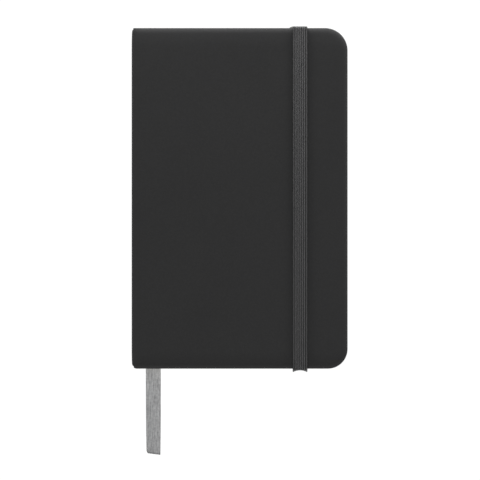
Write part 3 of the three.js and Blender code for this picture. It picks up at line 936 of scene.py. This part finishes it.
def band_section(shrink=0.0):
    """(x, height) round the band's section: ribs above and below, soft sides."""
    half = BAND_WIDTH / 2 - shrink
    share = np.linspace(0, 1, BAND_RIBS * BAND_RIB_STEPS + 1)
    crest = np.abs(np.sin(share * BAND_RIBS * math.pi)) ** BAND_RIB_POWER
    height = BAND_THICKNESS / 2 - shrink - BAND_GROOVE_DEPTH * (1 - crest)
    x = (2 * share - 1) * (half - BAND_SIDE)
    top = np.stack([x, height], axis=1)
    bottom = np.stack([x[::-1], -height[::-1]], axis=1)
    right = [(half, height[-1] * 0.5), (half, -height[-1] * 0.5)]
    left = [(-half, -height[0] * 0.5), (-half, height[0] * 0.5)]
    return np.concatenate([top, right, bottom, left])


def bend(centre_y, centre_z, from_angle, to_angle):
    """Points on a quarter bend of the band's middle line, as (y, z)."""
    angles = np.linspace(from_angle, to_angle, BAND_BEND_POINTS)
    y = centre_y + BAND_BEND_RADIUS * np.cos(angles)
    z = centre_z + BAND_BEND_RADIUS * np.sin(angles)
    return list(zip(y, z))


def sweep_band(name, path, material, shrink=0.0, drifts=None, cups=None):
    """A stretch of the band along (y, z) points, shifted along X by drifts, its sides out by cups."""
    path = np.array(path)
    section = band_section(shrink)
    lengths = run_lengths(path)
    tangents = unit_tangents(path)
    drifts = np.zeros(len(path)) if drifts is None else drifts
    cups = np.zeros(len(path)) if cups is None else cups
    vertices = []
    uvs = []
    for point, tangent, length, drift, cup in zip(path, tangents, lengths, drifts, cups):
        for x, height in section:
            lifted = height + cup * abs(2 * x / BAND_WIDTH) ** BAND_CUP_POWER
            y = point[0] - tangent[1] * lifted
            z = point[1] + tangent[0] * lifted
            vertices.append((BAND_X + drift + x, y, z))
            uvs.append((x + BAND_WIDTH / 2, length))
    faces = tube_faces(len(path), len(section))
    piece = make_piece(name, vertices, faces, material, uvs, sharp_degrees=SWEPT_SHARP_DEGREES)
    return piece


def make_front_run(material, leg_top):
    """Over the front cover, with a bend at each end down the head and tail edges."""
    inner_y = BAND_Y - BAND_BEND_RADIUS
    inner_z = BAND_FRONT_Z - BAND_BEND_RADIUS
    tail_bend = bend(-inner_y, inner_z, math.pi, math.pi / 2)
    head_bend = bend(inner_y, inner_z, math.pi / 2, 0)
    path = [(-BAND_Y, leg_top), *tail_bend, *head_bend, (BAND_Y, leg_top)]
    cups = np.zeros(len(path))
    cups[0] = BAND_LAP_CUP
    piece = sweep_band("elastic_front_run", path, material, cups=cups)
    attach(piece, "elastic_band")
    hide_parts("elastic_band")


def make_leg(material, end_name, side, leg_bottom, leg_top):
    """Across the edges of the leaves."""
    heights = np.linspace(leg_bottom, leg_top, BAND_LEG_POINTS)
    from_top = (leg_top - heights) / (leg_top - leg_bottom)
    drifts = None
    cups = None
    if side > 0:
        drifts = -BAND_DRIFT * from_top
    else:
        cups = np.interp(from_top, BAND_CUP_PLACES, [BAND_LAP_CUP, BAND_CUP, BAND_CUP, 0])
    outward = BAND_BULGE * np.sin(math.pi * from_top)
    path = [(side * (BAND_Y + out), z) for out, z in zip(outward, heights)]
    piece = sweep_band(f"elastic_leg_{end_name}", path, material, LEG_SHRINK, drifts, cups)
    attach(piece, "back_cover")
    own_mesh(piece)


def make_back_end(material, end_name, side, leg_bottom):
    """Round the edge of the back cover, along it to the slot and in."""
    inner_y = BAND_Y - BAND_BEND_RADIUS
    inner_z = BAND_BACK_Z + BAND_BEND_RADIUS
    edge_bend = bend(inner_y, inner_z, 0, -math.pi / 2)
    slot_bend = bend(SLOT_Y + BAND_BEND_RADIUS, inner_z, -math.pi / 2, -math.pi)
    path = [(BAND_Y, leg_bottom), *edge_bend, *slot_bend, (SLOT_Y, BACK_Z + BACK_END_DEPTH)]
    sided = [(side * y, z) for y, z in path]
    drifts = None
    if side > 0:
        lengths = run_lengths(np.array(path))
        drifts = -BAND_DRIFT * np.clip(1 - lengths / BAND_DRIFT_RUN, 0, 1)
    piece = sweep_band(f"elastic_back_{end_name}", sided, material, BACK_END_SHRINK, drifts)
    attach(piece, "back_cover")
    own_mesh(piece)
    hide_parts(f"elastic_end_{end_name}")


def make_elastic():
    """The band in five stretches: the front run, then a leg and a back end at the head and tail."""
    material = ribbed_elastic()
    leg_top = FRONT_Z - BAND_LEG_LAP
    leg_bottom = BACK_Z + BAND_LEG_LAP
    make_front_run(material, leg_top)
    for end_name, side in (("head", 1), ("tail", -1)):
        make_leg(material, end_name, side, leg_bottom, leg_top)
        make_back_end(material, end_name, side, leg_bottom)


# ---------------------------------------------------------------- ribbon marker


def ribbon_section():
    """(across, height) round the ribbon's section, thicker along both selvedges."""
    across = np.linspace(-RIBBON_WIDTH / 2, RIBBON_WIDTH / 2, RIBBON_COLUMNS)
    from_edge = RIBBON_WIDTH / 2 - np.abs(across)
    thicker = np.where(from_edge < RIBBON_SELVEDGE, RIBBON_SELVEDGE_SWELL, 1.0)
    rounded = np.sqrt(np.clip(from_edge / RIBBON_EDGE_RADIUS, RIBBON_EDGE_LEFT, 1))
    height = RIBBON_THICKNESS / 2 * thicker * rounded
    top = np.stack([across, height], axis=1)
    bottom = np.stack([across[::-1], -height[::-1]], axis=1)
    return np.concatenate([top, bottom])


def ribbon_end_shape(share):
    """How much longer the cut end is across the ribbon, share from -1 to 1; one corner is worn."""
    into_corner = max(0.0, (-share - RIBBON_WEAR_FROM) / (1 - RIBBON_WEAR_FROM))
    return RIBBON_SLANT * share - RIBBON_WEAR * into_corner**2


def ribbon_mesh(path, lengths):
    """The ribbon along its path, as vertices, faces and UVs; it twists slightly outside the book."""
    outside = np.clip((-HEAD_Y - path[:, 1]) / (-HEAD_Y - path[-1, 1]), 0, 1)
    twists = RIBBON_TWIST * outside**RIBBON_TWIST_POWER
    from_ends = lengths[-1] - lengths
    section = ribbon_section()
    vertices = []
    uvs = []
    for point, tangent, from_end, twist in zip(path, unit_tangents(path), from_ends, twists):
        forward = Vector(tangent)
        side = forward.cross(Vector((0, 0, 1))).normalized()
        up = side.cross(forward)
        near_end = max(0.0, 1 - from_end / RIBBON_CUT_RUN)
        for across, height in section:
            longer = ribbon_end_shape(-across / (RIBBON_WIDTH / 2)) * near_end
            in_plane = across * math.cos(twist) - height * math.sin(twist)
            lift = across * math.sin(twist) + height * math.cos(twist)
            vertices.append(Vector(point) + side * in_plane + up * lift + forward * longer)
            uvs.append((across, from_end))
    return vertices, tube_faces(len(path), len(section)), uvs


def make_ribbon():
    """The ribbon marker: flat between the leaves, then falling to the table."""
    route = [np.array(point) * MM for point in RIBBON_ROUTE_MM]
    path = catmull_rom(route, RIBBON_STEPS_PER_POINT)
    lengths = run_lengths(path)
    vertices, faces, uvs = ribbon_mesh(path, lengths)
    material = woven_ribbon()
    piece = make_piece("ribbon", vertices, faces, material, uvs, sharp_degrees=SWEPT_SHARP_DEGREES)
    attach(piece, "signature_07")
    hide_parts("ribbon_marker")


# ---------------------------------------------------------------- floor and light


def make_floor():
    """A flat table top, for the pictures only."""
    corners = [(x * FLOOR_HALF, y * FLOOR_HALF, 0) for x, y in ((-1, -1), (1, -1), (1, 1), (-1, 1))]
    floor = make_piece("floor", corners, [(0, 1, 2, 3)], studio_floor())


def make_light(name, place, size, power):
    """A softbox that faces the notebook."""
    light_data = bpy.data.lights.new(name, "AREA")
    light_data.shape = "RECTANGLE"
    light_data.size, light_data.size_y = size
    light_data.energy = power
    light = bpy.data.objects.new(name, light_data)
    light.location = place
    light.rotation_mode = "QUATERNION"
    light.rotation_quaternion = (-Vector(place)).to_track_quat("-Z", "Y")
    bpy.context.scene.collection.objects.link(light)


def make_studio():
    """The table, low softboxes round it, one overhead, and an even faint light from all sides."""
    make_floor()
    for name, place, size, power in SOFTBOXES:
        make_light(name, place, size, power)
    world = bpy.data.worlds.new("studio")
    world.use_nodes = True
    background = world.node_tree.nodes["Background"]
    background.inputs["Color"].default_value = (1, 1, 1, 1)
    background.inputs["Strength"].default_value = WORLD_STRENGTH
    bpy.context.scene.world = world
    bpy.context.scene.view_settings.view_transform = "Standard"
    bpy.context.scene.view_settings.look = "None"


make_camera()
make_ribbon()
make_skins()
make_boards()
finish_linings()
make_leaves()
make_threads()
make_elastic()
make_studio()
